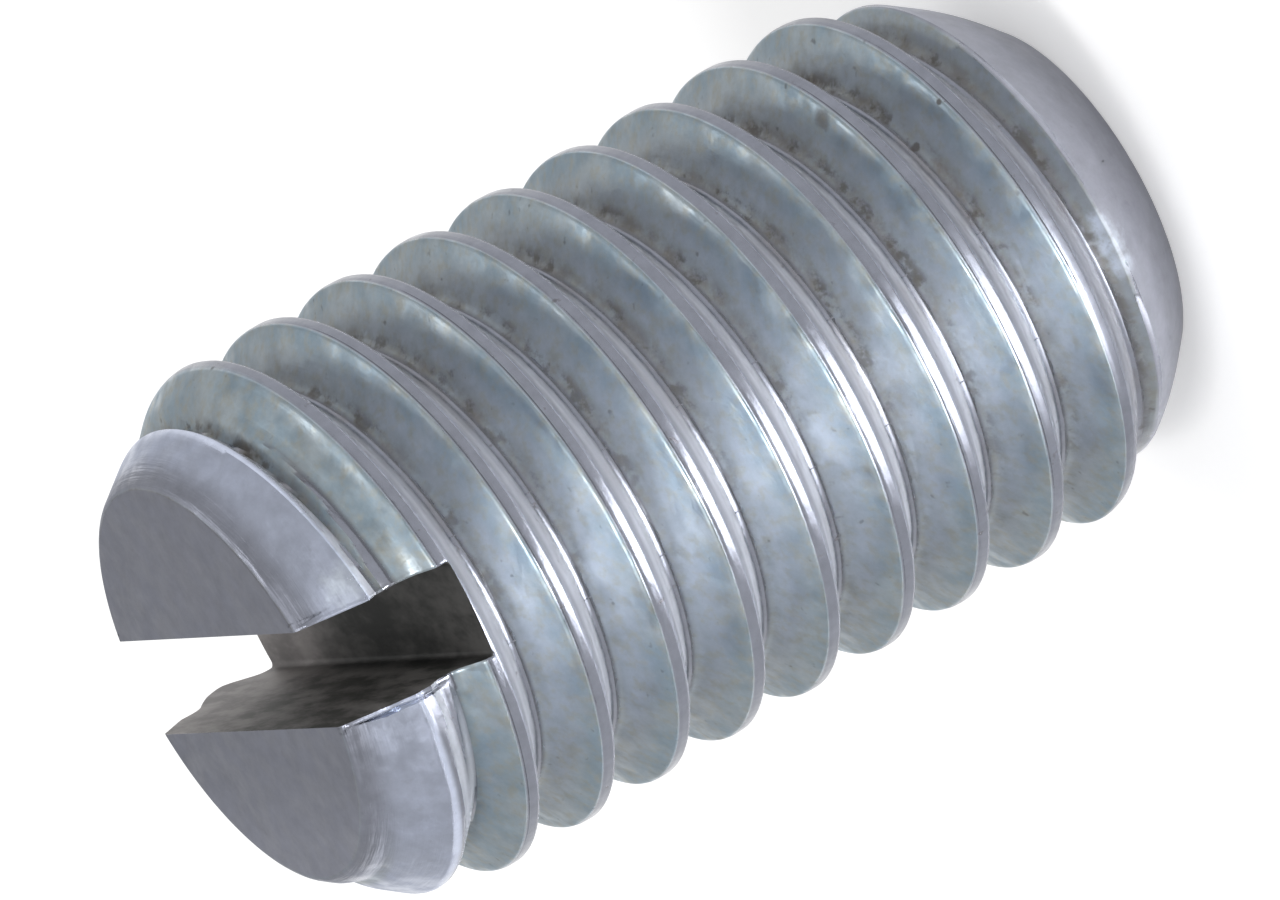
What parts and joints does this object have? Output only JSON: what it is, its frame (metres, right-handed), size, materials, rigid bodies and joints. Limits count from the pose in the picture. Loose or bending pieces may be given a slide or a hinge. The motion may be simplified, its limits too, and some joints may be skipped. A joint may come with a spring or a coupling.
{
  "type": "slotted grub screw",
  "caption": "Headless set screw with a metric coarse thread along its whole length, a straight driver slot in one end and a flat point at the other, for locking a collar or hub on a shaft.",
  "frame": {"origin": "centre of the flat point, on the face that the screw stands on", "axes": "+Z along the screw's axis from the flat point to the slotted end, +Y along the driver slot"},
  "size_m": [0.008, 0.008, 0.014],
  "materials": {
    "zinc_plated_steel": "zinc plated with a pale blue passivation, satin, lightly soiled in the thread's roots"
  },
  "bodies": {
    "root": {"grub_screw": "zinc_plated_steel"}
  },
  "joints": []
}
